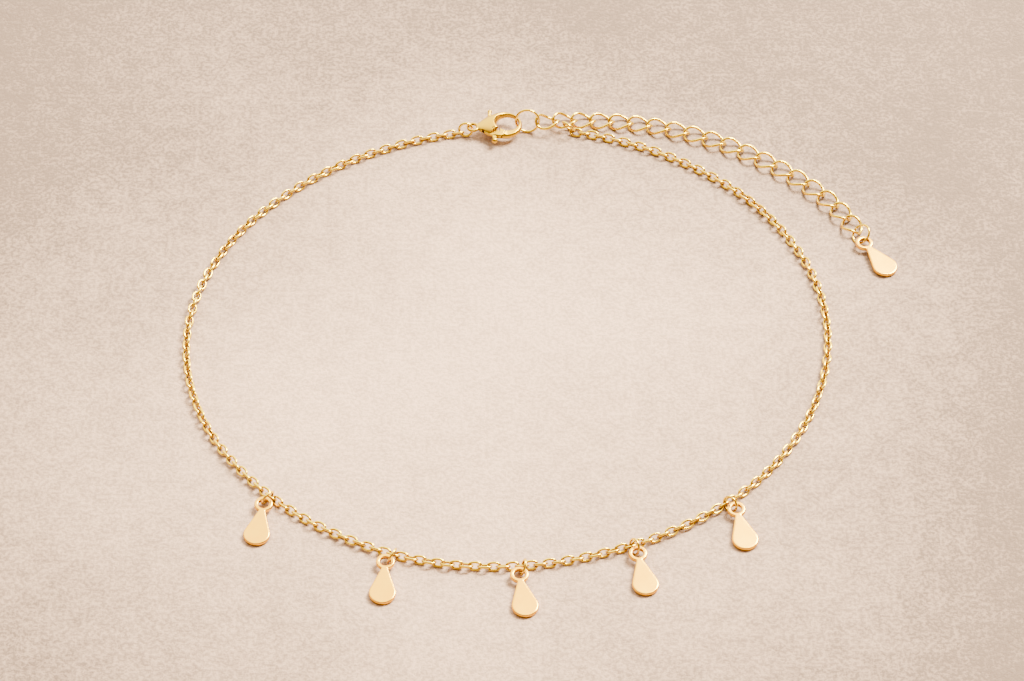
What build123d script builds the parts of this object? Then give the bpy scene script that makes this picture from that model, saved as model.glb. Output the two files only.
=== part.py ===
"""Charm anklet: a fine cable chain with five drop-shaped charms, closed by a lobster clasp
on a round ring, and a curb chain extender that ends in a sixth drop.

Millimetres, +Z up. It lies on a flat surface at Z = 0 and the ankle goes down through the
loop. X and Y are zero at the middle of the box around the whole piece.
"""

import os
from math import cos, pi, radians, sin

from build123d import *

os.makedirs("parts", exist_ok=True)

# ---- driving dimensions ------------------------------------------------------------------
loop_x, loop_y = -4.040, 2.095  # middle of the loop, from the middle of the box

# cable chain: oval links, each rolled a quarter turn from its neighbours
chain_links = 210
chain_wire = 0.28
chain_link_width = 0.66  # inside
chain_play = 0.13  # between the wires of two links
chain_roll = 45.0
chain_drift = 24.0  # how far the roll wanders between the charms

# curb chain extender: twisted oval links that lie flat
extender_links = 19
extender_wire = 0.33
extender_link_width = 2.8  # outside
extender_play = 0.08  # where the chain is drawn out
extender_slack = 0.30  # more play at the clasp
extender_twist = -38.0
curb_bend = 0.9

# round rings: wire and middle-of-wire radius
charm_ring_wire, charm_ring_radius = 0.28, 0.95
charm_ring_roll = 72.0
clasp_ring_wire, clasp_ring_radius = 0.33, 0.88
end_ring_wire, end_ring_radius = 0.31, 1.55
joining_ring_wire, joining_ring_radius = 0.30, 1.00
drop_ring_wire, drop_ring_radius = 0.28, 1.25

# drop-shaped charms
charm_thickness = 0.52
charm_eye, charm_eye_hole = 1.15, 0.64  # radii
charm_drop_radius = 1.62
charm_drop_reach = 4.70  # eye to the middle of the round end
charm_neck = 0.42  # half the width between eye and drop
charm_edge = 0.14
charm_tilt = 4.5
charm_reach = 1.75  # from the chain to the middle of the eye

# lobster clasp, in its own frame: +X to the nose, the lever on the -Y side
clasp_nose, clasp_tail = 1.95, -4.15
clasp_half_width = 2.30
clasp_flatness = 0.40  # thickness over width
arm_radius, arm_thickness, arm_edge = 2.25, 0.72, 0.30
clasp_profile = [(-6.0, 1.0), (-2.6, 0.92), (-1.7, 0.78), (-0.9, 0.56), (-0.2, 0.40), (2.5, 0.36)]  # half thickness
hole_x, hole_y, hole_radius = 0.03, 0.22, 1.45
rim_height, rim_flare = 0.22, 35.0
eye_x, eye_radius, eye_wire = -4.66, 0.64, 0.42
pivot_x, pivot_y = -1.95, -0.95
pin_radius = 0.16
pin_gap = 0.03
lever_thickness = 0.44
lever_gap = 0.07
lever_reach = 1.50  # pivot to the tip of the gate
gate_gap = 0.06
gate_back = 0.86  # pivot to the back of the gate
hub_radius = 0.42
thumb_reach = 1.75
thumb_width = 0.48
thumb_ball = 0.40
lug_foot, lug_tip, lug_width, lug_ball = (-2.40, 1.20), (-2.17, 2.68), 0.50, 0.31
gate_start, gate_end = 214, 300  # the gap that the gate closes, from the middle of the hole
lever_blade = [(-1.90, -0.50), (-3.20, -0.64), (-3.25, -1.30), (-2.20, -1.80), (-1.20, -1.95), (-1.10, -1.20)]
slot_radius = 0.90
slot_corners = [(-3.5, -0.52), (-3.5, -3.0), (-0.9, -3.0), (-0.9, -0.95), (-2.0, -0.30)]


# ---- frames ------------------------------------------------------------------------------
def place(x, y, z):
    """A point given from the middle of the loop."""
    return Vector(x + loop_x, y + loop_y, z)


def rolled(origin, along, roll):
    """A plane at origin with X along the chain and Y leaning up from the left by roll."""
    ahead = Vector(along).normalized()
    left = Vector(0, 0, 1).cross(ahead).normalized()
    up = ahead.cross(left)
    lean = left * cos(radians(roll)) + up * sin(radians(roll))
    return Plane(origin=origin, x_dir=ahead, z_dir=ahead.cross(lean))


def turned(degrees):
    """A level direction, turned from +X towards +Y."""
    return Vector(cos(radians(degrees)), sin(radians(degrees)), 0)


def save(piece, name):
    piece.label = name
    export_step(piece, f"parts/{name}.step")


# ---- cable chain -------------------------------------------------------------------------
chain_height = (chain_link_width + chain_wire) / 2 * sin(radians(chain_roll)) + chain_wire / 2
chain_lie = [
    (8.60, 39.05),
    (20.5, 34.5),
    (32.6, 24.0),
    (39.8, 7.3),
    (38.0, -11.6),
    (28.9, -26.2),
    (10.5, -37.0),
    (-9.1, -38.4),
    (-27.8, -29.1),
    (-37.8, -16.1),
    (-41.3, 2.3),
    (-35.4, 19.8),
    (-17.4, 35.5),
    (-7.25, 38.90),
]
with BuildLine() as chain_route:
    Spline(*[place(x, y, chain_height) for x, y in chain_lie])
chain_path = chain_route.edges()[0]
chain_pitch = chain_path.length / (chain_links - 1)
chain_link_length = chain_pitch + chain_play  # inside

with BuildPart() as chain_link:
    with BuildLine() as link_path:
        straight = chain_link_length - chain_link_width
        bend = (chain_link_width + chain_wire) / 2
        right = CenterArc((straight / 2, 0), bend, -90, 180)
        left = CenterArc((-straight / 2, 0), bend, 90, 180)
        Line(right @ 1, left @ 0)
        Line(left @ 1, right @ 0)
    with BuildSketch(Plane(origin=link_path.wires()[0] @ 0, z_dir=link_path.wires()[0] % 0)):
        Circle(chain_wire / 2)
    sweep(path=link_path.wires()[0])


def chain_plane(index):
    """Even links stand with their outer side high and odd links low, and the roll wanders."""
    share = index / (chain_links - 1)
    ends = min(1, index / 12, (chain_links - 1 - index) / 12)
    drift = chain_drift * ends * sin(pi * (index - 88) / 14) * cos(index / 9)
    roll = drift + (chain_roll if index % 2 == 0 else -chain_roll)
    bend = (chain_link_width + chain_wire) / 2
    lift = bend * (sin(radians(chain_roll + abs(drift))) - sin(radians(chain_roll)))
    return rolled(chain_path @ share + Vector(0, 0, lift), chain_path % share, roll)


chain_planes = [chain_plane(index) for index in range(chain_links)]
chain = Compound(children=[chain_link.part.moved(plane.location) for plane in chain_planes])
save(chain, "chain")


# ---- round rings: plane, middle-of-wire radius, wire ----------------------------------------
round_rings = {
    "end_ring": (rolled(place(2.068, 40.057, 1.616), turned(-5.0), 70.3), end_ring_radius, end_ring_wire),
    "clasp_ring": (rolled(place(-6.196, 39.024, 0.982), turned(-4.9), 68.1), clasp_ring_radius, clasp_ring_wire),
    "joining_ring": (
        rolled(place(7.614, 39.496, 1.043), turned(-42.9), 116.8),
        joining_ring_radius,
        joining_ring_wire,
    ),
}


# ---- charms ------------------------------------------------------------------------------
with BuildPart() as charm_blank:
    with BuildSketch() as charm_outline:
        with Locations((charm_drop_reach, 0)):
            Circle(charm_drop_radius)
        with Locations((charm_eye, 0)):
            Circle(charm_neck)
        make_hull()
        Circle(charm_eye)
        Circle(charm_eye_hole, mode=Mode.SUBTRACT)
    extrude(amount=charm_thickness / 2, both=True)
    faces = charm_blank.faces().filter_by(Axis.Z)
    fillet(faces.edges(), charm_edge)


charm_lift = charm_thickness / 2 * cos(radians(charm_tilt)) + (
    charm_drop_reach + charm_drop_radius - charm_edge
) * sin(radians(charm_tilt))


def lying(eye, heading):
    """A charm's plane: its eye is lifted and its round end lies on the surface."""
    down = Vector(0, 0, -sin(radians(charm_tilt)))
    along = turned(heading) * cos(radians(charm_tilt)) + down
    return rolled(eye + Vector(0, 0, charm_lift), along, 0)


def hanging(link, ring_swing, eye_swing, heading):
    """Planes of a charm and of its ring, which passes through the middle of a chain link.

    The ring leans on the surface, turned from the outward direction. It lifts the eye of
    the charm, which lies on its round end and points along heading.
    """
    hang = link.origin
    outward = Vector(0, 0, 1).cross(link.x_dir)
    ring = rolled(hang, outward.rotate(Axis.Z, ring_swing), charm_ring_roll)
    lean = sin(radians(charm_ring_roll))
    down = charm_ring_radius - (hang.Z - charm_ring_wire / 2) / lean
    out = (charm_ring_radius**2 - down**2) ** 0.5
    ring.origin = hang + ring.x_dir * out + ring.y_dir * down
    eye = Vector(hang.X, hang.Y, 0) + outward.rotate(Axis.Z, eye_swing) * charm_reach
    return lying(eye, heading), ring


charm_places = [
    # link, swing of the ring, swing of the eye, heading of the charm
    (132, 2, 16, -98.1),
    (116, -6, -12, -93.3),
    (102, -8, -15, -81.7),
    (90, 6, 10, -80.0),
    (78, 10, 16, -78.7),
]
charm_planes = {}
for number, (link, *directions) in enumerate(charm_places, start=1):
    charm, ring = hanging(chain_planes[link], *directions)
    charm_planes[f"charm_{number}"] = charm
    round_rings[f"charm_{number}_ring"] = (ring, charm_ring_radius, charm_ring_wire)


# ---- curb chain extender -----------------------------------------------------------------
extender_lie = [
    (4.70, 40.32, 1.30),
    (7.28, 41.00, 0.88),
    (9.75, 41.22, 0.64),
    (16.46, 40.67, 0.58),
    (23.87, 38.65, 0.58),
    (30.61, 35.30, 0.58),
    (36.81, 30.63, 0.58),
    (41.05, 26.31, 0.58),
    (44.50, 20.75, 0.58),
]
with BuildLine() as extender_route:
    Spline(*[place(*point) for point in extender_lie])
extender_path = extender_route.edges()[0]
extender_pitch = extender_path.length / (extender_links - 1)
extender_half_length = (extender_pitch + extender_slack / 2 + extender_play + extender_wire) / 2
extender_half_width = (extender_link_width - extender_wire) / 2


def curb_point(turn):
    """A point on the twisted oval that goes round an extender link."""
    twist = radians(extender_twist) * cos(turn)
    side = extender_half_width * sin(turn)
    return Vector(extender_half_length * cos(turn), side * cos(twist), side * sin(twist))


# the oval is built as a rounded polygon whose sides touch it, in two open halves
curb_sides = 10
curb_corners = [
    curb_point(2 * pi * (corner + 0.5) / curb_sides) * (1 / cos(pi / curb_sides)) for corner in range(curb_sides)
]
with BuildPart() as curb_link:
    for first in (0, curb_sides // 2):
        run = [curb_corners[(first + step) % curb_sides] for step in range(-1, curb_sides // 2 + 1)]
        start = (run[0] + run[1]) * 0.5
        end = (run[-2] + run[-1]) * 0.5
        with BuildLine() as curb_half:
            FilletPolyline(start, *run[1:-1], end, radius=curb_bend)
        half = curb_half.wires()[0]
        with BuildSketch(Plane(origin=half @ 0, z_dir=half % 0)):
            Circle(extender_wire / 2)
        sweep(path=half)


def extender_share(index):
    """How far along the extender a link lies: they lie closer together at the clasp."""
    gaps = extender_links - 1
    near = extender_pitch - extender_slack / 2
    return (near * index + extender_slack * index**2 / (2 * gaps)) / extender_path.length


extender_shares = [extender_share(index) for index in range(extender_links)]
extender_planes = [rolled(extender_path @ share, extender_path % share, 0) for share in extender_shares]
for number, plane in enumerate(extender_planes, start=1):
    save(curb_link.part.moved(plane.location), f"extender_link_{number:02d}")

# ---- lobster clasp -------------------------------------------------------------------------
clasp_plane = rolled(place(-0.60, 39.59, 1.25), turned(5), 4)
slot_half_height = lever_thickness / 2 + lever_gap

with BuildSketch() as clasp_outline:
    with BuildLine():
        nose = CenterArc((clasp_nose - clasp_half_width, 0), clasp_half_width, 0, 90)
        shoulder = TangentArc(nose @ 1, (-2.85, 1.52), tangent=nose % 1)
        TangentArc(shoulder @ 1, (clasp_tail, 0.42), tangent=shoulder % 1)
        Polyline((clasp_tail, 0.42), (clasp_tail, 0), (clasp_nose, 0))
    make_face()

with BuildPart() as arm_disc:
    with Locations((clasp_nose - clasp_half_width, 0)):
        Cylinder(arm_radius, arm_thickness)
    fillet(arm_disc.edges().filter_by(GeomType.CIRCLE), arm_edge)

with BuildPart() as clasp_form:
    add(clasp_outline.sketch)
    revolve(axis=Axis.X)
    scale(by=(1, 1, clasp_flatness))
    with BuildSketch(Plane.XZ):
        with BuildLine():
            under = [(x, -z) for x, z in reversed(clasp_profile)]
            Polyline(*clasp_profile, *under, close=True)
        make_face()
    extrude(amount=clasp_half_width, both=True, mode=Mode.INTERSECT)
    add(arm_disc.part)


def wedge(first, last):
    """A wide triangle with its point in the middle of the clasp's hole."""
    far = 2 * clasp_half_width
    edges = [(hole_x + far * cos(radians(turn)), hole_y + far * sin(radians(turn))) for turn in (first, last)]
    Polygon((hole_x, hole_y), *edges, align=None)


with BuildPart() as clasp_body:
    add(clasp_form.part)
    with BuildSketch():
        with Locations((hole_x, hole_y)):
            Circle(hole_radius)
    extrude(amount=clasp_half_width, both=True, mode=Mode.SUBTRACT)
    for side in (1, -1):
        with BuildSketch(Plane((hole_x, hole_y, side * rim_height), z_dir=(0, 0, side))):
            Circle(hole_radius)
        extrude(amount=clasp_half_width, taper=-rim_flare, mode=Mode.SUBTRACT)
    with BuildSketch():
        with Locations((pivot_x, pivot_y)):
            Circle(lever_reach + gate_gap)
        with BuildSketch(mode=Mode.INTERSECT):
            wedge(gate_start, gate_end)
    extrude(amount=clasp_half_width, both=True, mode=Mode.SUBTRACT)
    with BuildSketch():
        with Locations((pivot_x, pivot_y)):
            Circle(slot_radius)
        with BuildLine():
            Polyline(*slot_corners, close=True)
        make_face()
    extrude(amount=slot_half_height, both=True, mode=Mode.SUBTRACT)
    with Locations((pivot_x, pivot_y)):
        Hole(pin_radius + pin_gap)
    with Locations((eye_x, 0)):
        Torus(eye_radius, eye_wire / 2)
    lug = Vector(lug_tip) - Vector(lug_foot)
    with BuildSketch(Plane(origin=lug_foot, z_dir=lug)):
        Circle(lug_width / 2)
    extrude(amount=lug.length)
    with Locations(lug_tip):
        Sphere(lug_ball)
save(clasp_body.part.moved(clasp_plane.location), "clasp_body")

with BuildPart() as clasp_lever:
    with BuildSketch():
        with Locations((pivot_x, pivot_y)):
            Circle(lever_reach)
            Circle(gate_back, mode=Mode.SUBTRACT)
        with BuildSketch(mode=Mode.INTERSECT):
            wedge(gate_start, gate_end)
        with Locations((hole_x, hole_y)):
            Circle(hole_radius, mode=Mode.SUBTRACT)
    extrude(amount=arm_thickness / 2, both=True)
    with BuildSketch():
        with BuildLine():
            Polyline(*lever_blade, close=True)
        make_face()
        with Locations((pivot_x, pivot_y)):
            Circle(hub_radius)
    extrude(amount=lever_thickness / 2, both=True)
    add(clasp_form.part, mode=Mode.INTERSECT)
    with BuildSketch():
        with Locations((pivot_x, pivot_y - thumb_reach / 2)):
            Rectangle(thumb_width, thumb_reach)
    extrude(amount=lever_thickness / 2, both=True)
    with Locations((pivot_x, pivot_y - thumb_reach)):
        Sphere(thumb_ball)
    with Locations((pivot_x, pivot_y)):
        Hole(pin_radius + pin_gap)
save(clasp_lever.part.moved(clasp_plane.location), "clasp_lever")

with BuildPart() as clasp_pin:
    with Locations((pivot_x, pivot_y)):
        Cylinder(pin_radius, clasp_half_width)
    add(clasp_form.part, mode=Mode.INTERSECT)
save(clasp_pin.part.moved(clasp_plane.location), "clasp_pin")

# ---- the drop at the extender's end ----------------------------------------------------------
round_rings["drop_ring"] = (
    rolled(place(45.570, 18.687, 0.979), turned(-64.6), 42.1),
    drop_ring_radius,
    drop_ring_wire,
)
charm_planes["drop"] = lying(place(45.90, 17.15, 0), -58.6)

for name, (plane, radius, wire) in round_rings.items():
    with BuildPart() as ring:
        Torus(radius, wire / 2)
    save(ring.part.moved(plane.location), name)
for name, plane in charm_planes.items():
    save(charm_blank.part.moved(plane.location), name)
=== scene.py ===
"""Looks of the charm anklet: its chain, rings, charms and clasp in polished gold plate."""

from math import cos, pi, radians, sin

import bmesh
import bpy
import numpy as np
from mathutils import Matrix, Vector


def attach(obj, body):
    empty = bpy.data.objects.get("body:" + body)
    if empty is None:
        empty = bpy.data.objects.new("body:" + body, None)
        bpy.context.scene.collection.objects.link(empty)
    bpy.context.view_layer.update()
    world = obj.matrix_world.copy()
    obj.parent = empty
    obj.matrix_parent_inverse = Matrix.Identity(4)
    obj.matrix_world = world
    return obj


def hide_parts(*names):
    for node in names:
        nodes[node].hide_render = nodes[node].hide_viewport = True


MM = 0.001
same_place = 0.01 * MM

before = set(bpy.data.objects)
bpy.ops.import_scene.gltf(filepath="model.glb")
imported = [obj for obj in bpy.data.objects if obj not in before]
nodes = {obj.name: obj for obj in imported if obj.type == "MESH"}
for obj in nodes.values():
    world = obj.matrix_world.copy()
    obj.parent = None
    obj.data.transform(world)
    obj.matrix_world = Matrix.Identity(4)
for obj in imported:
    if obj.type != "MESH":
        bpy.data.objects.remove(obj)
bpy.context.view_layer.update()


# ---- reading the frame -------------------------------------------------------------------
def node_points(node):
    """The places of a node's vertices, a row for each."""
    mesh = nodes[node].data
    places = np.empty(len(mesh.vertices) * 3)
    mesh.vertices.foreach_get("co", places)
    return places.reshape(-1, 3)


def separate_solids(node):
    """The vertices of each loose solid of a node. Vertices at one place count as one."""
    mesh = nodes[node].data
    places = node_points(node)
    keys = {}
    owner = []
    for place in np.round(places / same_place).astype(int):
        owner.append(keys.setdefault(tuple(place), len(keys)))
    group = list(range(len(keys)))

    def root(item):
        while group[item] != item:
            group[item] = group[group[item]]
            item = group[item]
        return item

    for polygon in mesh.polygons:
        corners = [owner[v] for v in polygon.vertices]
        first = root(corners[0])
        for corner in corners[1:]:
            group[root(corner)] = first
    solids = {}
    for vertex, key in enumerate(owner):
        solids.setdefault(root(key), []).append(vertex)
    return [places[members] for members in solids.values()]


class Lie:
    """How a link or ring lies: its middle, and its long, wide and thin directions."""

    def __init__(self, points):
        middle = points.mean(0)
        spread = np.linalg.eigh(np.cov((points - middle).T))[1]
        self.long, self.wide = spread[:, 2], spread[:, 1]
        self.thin = np.cross(self.long, self.wide)
        self.axes = np.array([self.long, self.wide, self.thin])
        inside = (points - middle) @ self.axes.T
        self.low, self.high = inside.min(0), inside.max(0)
        self.middle = middle + (self.low + self.high) / 2 @ self.axes
        self.size = self.high - self.low

    def put(self, points):
        """Points from the piece's own directions to the frame."""
        return self.middle + np.asarray(points) @ self.axes


# ---- wire --------------------------------------------------------------------------------
def tube_rings(path, radius, sides, closed=True):
    """Circles of points along a path, which meet where a closed path closes."""
    path = np.asarray(path)
    if closed:
        ahead = np.roll(path, -1, 0) - np.roll(path, 1, 0)
    else:
        ahead = np.gradient(path, axis=0)
    ahead /= np.linalg.norm(ahead, axis=1)[:, None]
    any_other_way = [0.3, 0.5, 0.8]
    start = np.cross(ahead[0], any_other_way)
    side = start / np.linalg.norm(start)
    sidewards = [side]
    for direction in ahead[1:]:
        side = side - direction * (side @ direction)
        side /= np.linalg.norm(side)
        sidewards.append(side)
    sidewards = np.array(sidewards)
    upwards = np.cross(ahead, sidewards)
    if closed:
        last = sidewards[-1] - ahead[0] * (sidewards[-1] @ ahead[0])
        slip = np.arctan2(last @ upwards[0], last @ sidewards[0])  # spread along the wire
    else:
        slip = 0.0
    count = len(path)
    turn = np.linspace(0, 2 * pi, sides, endpoint=False)[None] - slip * np.arange(count)[:, None] / count
    radius = np.broadcast_to(radius, (count,))[:, None, None]
    across = np.cos(turn)[..., None] * sidewards[:, None] + np.sin(turn)[..., None] * upwards[:, None]
    return path[:, None] + radius * across


def tube(path, radius, sides, closed=True):
    """Vertices and faces of a round wire along a path."""
    rings = tube_rings(path, radius, sides, closed)
    count = len(rings)
    faces = []
    for i in range(count if closed else count - 1):
        for j in range(sides):
            near, far = i * sides, (i + 1) % count * sides
            faces.append((near + j, far + j, far + (j + 1) % sides, near + (j + 1) % sides))
    if not closed:
        faces.append(tuple(range(sides))[::-1])
        faces.append(tuple((count - 1) * sides + j for j in range(sides)))
    return rings.reshape(-1, 3), faces


def joined(parts):
    """Several (vertices, faces) as one."""
    vertices, faces, offset = [], [], 0
    for points, quads in parts:
        vertices.append(points)
        faces.extend(tuple(v + offset for v in face) for face in quads)
        offset += len(points)
    return np.concatenate(vertices), faces


def piece(name, vertices, faces, finish, replaced, body="anklet"):
    """A smooth mesh piece that stands for a CAD node."""
    mesh = bpy.data.meshes.new(name)
    mesh.from_pydata([tuple(v) for v in vertices], [], faces)
    cleaned = bmesh.new()
    cleaned.from_mesh(mesh)
    bmesh.ops.recalc_face_normals(cleaned, faces=cleaned.faces)
    cleaned.to_mesh(mesh)
    cleaned.free()
    mesh.shade_smooth()
    made = bpy.data.objects.new(name, mesh)
    bpy.context.scene.collection.objects.link(made)
    dress(made, finish, replaced, body)


def dress(made, finish, replaced, body):
    """Gives a piece its finish and its body, and hides the CAD node that it stands for."""
    made.data.materials.clear()
    made.data.materials.append(finish)
    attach(made, body)
    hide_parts(replaced)


def casting(name, node, finish, grain, polishing, body="anklet"):
    """A CAD node as one even skin, of cells the size of the grain, with its edges polished round."""
    rough = nodes[node].data.copy()
    welded = bmesh.new()
    welded.from_mesh(rough)
    bmesh.ops.remove_doubles(welded, verts=welded.verts, dist=0.001 * MM)
    bmesh.ops.recalc_face_normals(welded, faces=welded.faces)
    welded.to_mesh(rough)
    welded.free()
    made = bpy.data.objects.new(name, rough)
    bpy.context.scene.collection.objects.link(made)
    skin = made.modifiers.new("skin", "REMESH")
    skin.mode, skin.voxel_size = "VOXEL", grain
    polish = made.modifiers.new("polish", "SMOOTH")
    polish.factor, polish.iterations = 0.5, polishing
    settled = made.evaluated_get(bpy.context.evaluated_depsgraph_get())
    cast = bpy.data.meshes.new_from_object(settled)
    made.modifiers.clear()
    made.data = cast
    cast.name = name
    cast.shade_smooth()
    dress(made, finish, node, body)


# ---- materials ---------------------------------------------------------------------------
class Flow:
    """A socket whose arithmetic adds Math nodes."""

    def __init__(self, recipe, socket):
        self.recipe, self.socket = recipe, socket

    def math(self, operation, *values):
        """A Math node on values and flows."""
        return self.recipe.node("ShaderNodeMath", {"operation": operation}, dict(enumerate(values)))

    def __add__(self, other):
        return self.math("ADD", self, other)

    def __sub__(self, other):
        return self.math("SUBTRACT", self, other)

    def __rsub__(self, other):
        return self.math("SUBTRACT", other, self)

    def __mul__(self, other):
        return self.math("MULTIPLY", self, other)

    __radd__, __rmul__ = __add__, __mul__

    def between(self, low, high):
        """0 below low, 1 above high, and smooth between."""
        limits = {"Value": self, "From Min": low, "From Max": high}
        return self.recipe.node("ShaderNodeMapRange", {"interpolation_type": "SMOOTHSTEP"}, limits)


class Recipe:
    """The node tree of a material or world while it is put together."""

    def __init__(self, owner):
        owner.use_nodes = True
        self.tree = owner.node_tree
        self.tree.nodes.clear()

    def node(self, kind, settings, values, output=0):
        """A node: its settings first, then a value or a link for each named socket."""
        made = self.tree.nodes.new(kind)
        for setting, value in settings.items():
            setattr(made, setting, value)
        for socket, value in values.items():
            if isinstance(value, Flow):
                self.tree.links.new(value.socket, made.inputs[socket])
            else:
                made.inputs[socket].default_value = value
        return Flow(self, made.outputs[output]) if made.outputs else None

    def noise(self, where, scale, detail=2.0, roughness=0.5):
        """Noise of so many bumps to the metre."""
        values = {"Vector": where, "Scale": scale, "Detail": detail, "Roughness": roughness}
        return self.node("ShaderNodeTexNoise", {"noise_dimensions": "3D"}, values)

    def mix(self, share, first, second):
        """A colour between two colours."""
        settings = {"data_type": "RGBA", "clamp_factor": True}
        return self.node("ShaderNodeMix", settings, {0: share, 6: first, 7: second}, output=2)

    def place(self):
        """The place on the piece, in metres."""
        return self.node("ShaderNodeTexCoord", {}, {}, output="Object")


def colour(red, green, blue):
    """An opaque colour."""
    return (red, green, blue, 1.0)


def gold_plate(name, bright, deep, roughness, dented):
    """Polished gold plate with a drifting tone, tumbling marks, soft dents and painted shade in
    recesses.
    """
    material = bpy.data.materials.new(name)
    recipe = Recipe(material)
    place = recipe.place()
    drift = recipe.noise(place, 450.0, 3.0)
    marks = recipe.noise(place, 9000.0, 4.0, 0.65)
    dents = recipe.noise(place, 1500.0, 2.0)
    # painted shade: ambient occlusion darkens recesses and undersides near the floor towards a brown
    open_to_light = recipe.node(
        "ShaderNodeAmbientOcclusion", {"samples": 6}, {"Distance": painted_shade_reach}, output="AO"
    )
    unshaded_tone = recipe.mix(drift.between(0.30, 0.70), deep, bright)
    tone_with_painted_shade = recipe.mix(open_to_light.between(0.22, 0.95), painted_shade_brown, unshaded_tone)
    shine = roughness + 0.10 * marks.between(0.45, 0.80) + 0.05 * (drift - 0.5)
    height = dents + marks * 0.25
    relief = {"Strength": dented, "Distance": dent_depth, "Height": height}
    bump = recipe.node("ShaderNodeBump", {}, relief)
    metal = {"Base Color": tone_with_painted_shade, "Metallic": 1.0, "Roughness": shine, "Normal": bump}
    surface = recipe.node("ShaderNodeBsdfPrincipled", {}, metal)
    recipe.node("ShaderNodeOutputMaterial", {}, {"Surface": surface})
    return material


# the brown of the painted shade, and how far the ambient occlusion looks for it
painted_shade_brown = colour(0.34, 0.15, 0.003)
painted_shade_reach = 0.8 * MM
dent_depth = 0.02 * MM

bright, deep = colour(1.0, 0.73, 0.015), colour(0.94, 0.61, 0.008)
chain_gold = gold_plate("chain_gold_plate", bright, deep, roughness=0.13, dented=0.10)
bright, deep = colour(1.0, 0.55, 0.012), colour(1.0, 0.51, 0.008)
charm_gold = gold_plate("charm_gold_plate", bright, deep, roughness=0.22, dented=0.05)
bright, deep = colour(0.70, 0.44, 0.006), colour(0.64, 0.38, 0.005)
clasp_gold = gold_plate("clasp_gold_plate", bright, deep, roughness=0.28, dented=0.05)

# ---- cable chain -------------------------------------------------------------------------
chain_wire = 0.14 * MM  # radius
fullness = 1.12  # plating and burnishing leave the wire a little thicker
link_steps, link_sides = 40, 10
link_roundness = 0.87  # 1 is an ellipse, and less is nearer a rectangle


def oval(half_length, half_width):
    """The middle line of a cable link: an oval a little fuller than an ellipse."""
    points = []
    for turn in np.linspace(0, 2 * pi, link_steps, endpoint=False):
        along = abs(cos(turn)) ** link_roundness * (1 if cos(turn) > 0 else -1)
        across = abs(sin(turn)) ** link_roundness * (1 if sin(turn) > 0 else -1)
        points.append((half_length * along, half_width * across, 0))
    return np.array(points)


chain_parts = []
for solid in separate_solids("chain"):
    lie = Lie(solid)
    half_length, half_width = lie.size[0] / 2 - chain_wire, lie.size[1] / 2 - chain_wire
    path = lie.put(oval(half_length, half_width))
    chain_parts.append(tube(path, chain_wire * fullness, link_sides))
piece("cable_chain", *joined(chain_parts), chain_gold, "chain")

# ---- rings -------------------------------------------------------------------------------
ring_steps, ring_sides = 72, 16
ring_fullness = 1.06
ring_cut = 0.035 * MM  # the slit where a jump ring opens

for node in sorted(nodes):
    if not node.endswith("ring"):
        continue
    lie = Lie(node_points(node))
    wire = lie.size[2] / 2
    radius = (lie.size[0] + lie.size[1]) / 4 - wire
    soldered = node == "end_ring"
    if soldered:
        turns = np.linspace(0, 2 * pi, ring_steps, endpoint=False)
    else:
        slit = ring_cut / radius / 2
        turns = np.linspace(slit, 2 * pi - slit, ring_steps)
    path = lie.put(np.stack([radius * np.cos(turns), radius * np.sin(turns), 0 * turns], 1))
    piece(f"{node}_wire", *tube(path, wire * ring_fullness, ring_sides, soldered), chain_gold, node)

# ---- extender ----------------------------------------------------------------------------
curb_wire = 0.165 * MM  # radius
curb_twist = radians(-38)
curb_steps, curb_sides = 84, 16

for node in sorted(nodes):
    if not node.startswith("extender_link"):
        continue
    lie = Lie(node_points(node))
    half_length, half_width = lie.size[0] / 2 - curb_wire, lie.size[1] / 2 - curb_wire
    turns = np.linspace(0, 2 * pi, curb_steps, endpoint=False)
    twist = curb_twist * np.cos(turns)
    side = half_width * np.sin(turns)
    path = np.stack([half_length * np.cos(turns), side * np.cos(twist), side * np.sin(twist)], 1)
    piece(f"{node}_wire", *tube(lie.put(path), curb_wire * fullness, curb_sides), chain_gold, node)

# ---- charms and drop ---------------------------------------------------------------------
for node in sorted(nodes):
    if node == "drop" or (node.startswith("charm") and not node.endswith("ring")):
        casting(f"{node}_plate", node, charm_gold, grain=0.06 * MM, polishing=4)

# ---- clasp -------------------------------------------------------------------------------
casting("clasp_casting", "clasp_body", clasp_gold, grain=0.035 * MM, polishing=14)
casting("lever_casting", "clasp_lever", clasp_gold, grain=0.030 * MM, polishing=8, body="lever")
casting("pin_head", "clasp_pin", clasp_gold, grain=0.025 * MM, polishing=3)

# ---- floor, light and camera -------------------------------------------------------------
loop_middle = Vector((-4.040 * MM, 2.095 * MM, 0))

floor_mesh = bpy.data.meshes.new("floor")
reach = 1.5
square = [(-reach, -reach, 0), (reach, -reach, 0), (reach, reach, 0), (-reach, reach, 0)]
floor_mesh.from_pydata(square, [], [(0, 1, 2, 3)])
floor = bpy.data.objects.new("floor", floor_mesh)
bpy.context.scene.collection.objects.link(floor)

plaster = bpy.data.materials.new("plaster_with_painted_light")
recipe = Recipe(plaster)
place = recipe.place()
cloud = recipe.noise(place, 22.0, 3.0)
mottle = recipe.noise(place, 420.0, 4.0, 0.6)
speck = recipe.noise(place, 1900.0, 4.0, 0.7)
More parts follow.
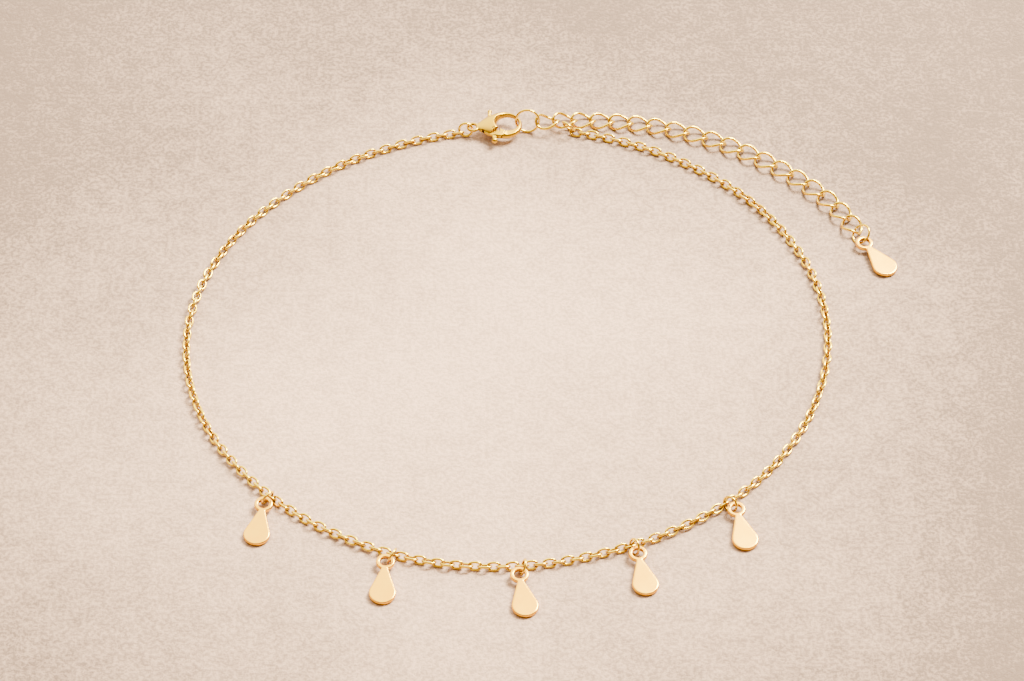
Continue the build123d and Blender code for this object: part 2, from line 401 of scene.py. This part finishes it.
# painted light: the plaster is palest to the left and in front of the loop's middle, painted shade
# deepens outwards
stretch, shift = (1.25, 1.20, 0.0), (12.5 * MM, 9.6 * MM, 0.0)
shifted = recipe.node(
    "ShaderNodeVectorMath", {"operation": "MULTIPLY_ADD"}, {0: place, 1: stretch, 2: shift}
)
from_painted_light = recipe.node("ShaderNodeVectorMath", {"operation": "LENGTH"}, {0: shifted}, output="Value")
# the painted light falls off from the shifted middle towards the painted shade
painted_light_falloff = from_painted_light.between(-11.0 * MM, 125.0 * MM)
painted_lit_plaster = colour(0.80, 0.545, 0.355)
shaded = colour(0.22, 0.15, 0.098)
# the share is the painted light falloff plus random cloud, mottle and speck
share = painted_light_falloff + cloud.between(0.3, 0.7) * 0.25 + mottle.between(0.35, 0.65) * 0.16
tone_with_painted_shade = recipe.mix(share + speck.between(0.42, 0.58) * 0.30 - 0.28, painted_lit_plaster, shaded)
relief = {"Strength": 0.8, "Distance": 0.25 * MM, "Height": speck + mottle * 0.5}
bump = recipe.node("ShaderNodeBump", {}, relief)
matt = {"Base Color": tone_with_painted_shade, "Roughness": 0.9, "Normal": bump}
surface = recipe.node("ShaderNodeBsdfPrincipled", {}, matt)
recipe.node("ShaderNodeOutputMaterial", {}, {"Surface": surface})
floor_mesh.materials.append(plaster)

# the room is bright behind the anklet and above it, and dim in front of it
world = bpy.data.worlds.new("studio")
bpy.context.scene.world = world
recipe = Recipe(world)
direction = recipe.node("ShaderNodeTexCoord", {}, {}, output="Generated")
split = recipe.tree.nodes.new("ShaderNodeSeparateXYZ")
recipe.tree.links.new(direction.socket, split.inputs[0])
upward, backward = Flow(recipe, split.outputs[2]), Flow(recipe, split.outputs[1])
glow = (0.75 * backward + 0.65 * upward).between(0.37, 0.95)
sky = recipe.mix(glow, colour(0.10, 0.058, 0.022), colour(1.0, 0.92, 0.80))
background = recipe.node("ShaderNodeBackground", {}, {"Color": sky, "Strength": 5.2})
recipe.node("ShaderNodeOutputWorld", {}, {"Surface": background})


def area_light(name, azimuth, elevation, distance, size, power, tint):
    """A square light that faces the anklet. Azimuth 0 is at +X."""
    made = bpy.data.lights.new(name, "AREA")
    made.energy, made.size, made.color = power, size, tint
    lamp = bpy.data.objects.new(name, made)
    level = cos(radians(elevation))
    bearing = radians(azimuth)
    towards = Vector((level * cos(bearing), level * sin(bearing), sin(radians(elevation))))
    lamp.location = loop_middle + towards * distance
    lamp.rotation_euler = towards.to_track_quat("Z", "Y").to_euler()
    bpy.context.scene.collection.objects.link(lamp)


area_light("key", 42, 48, distance=1.0, size=0.40, power=50.0, tint=(1.0, 0.92, 0.82))
area_light("glint", 62, 58, distance=1.0, size=0.05, power=4.0, tint=(1.0, 0.95, 0.88))

camera_reach = 360.3 * MM  # as far in front of the loop as above it
camera_data = bpy.data.cameras.new("camera")
camera_data.lens = 140.6
camera_data.sensor_width = 36
camera_data.clip_start = 0.01
camera = bpy.data.objects.new("camera", camera_data)
camera.location = loop_middle + Vector((0, -camera_reach, camera_reach))
camera.rotation_euler = (radians(45), 0, 0)
bpy.context.scene.collection.objects.link(camera)
bpy.context.scene.camera = camera


def corners(box):
    """The low and high corner of a box as plain lists."""
    return [list(corner) for corner in box]
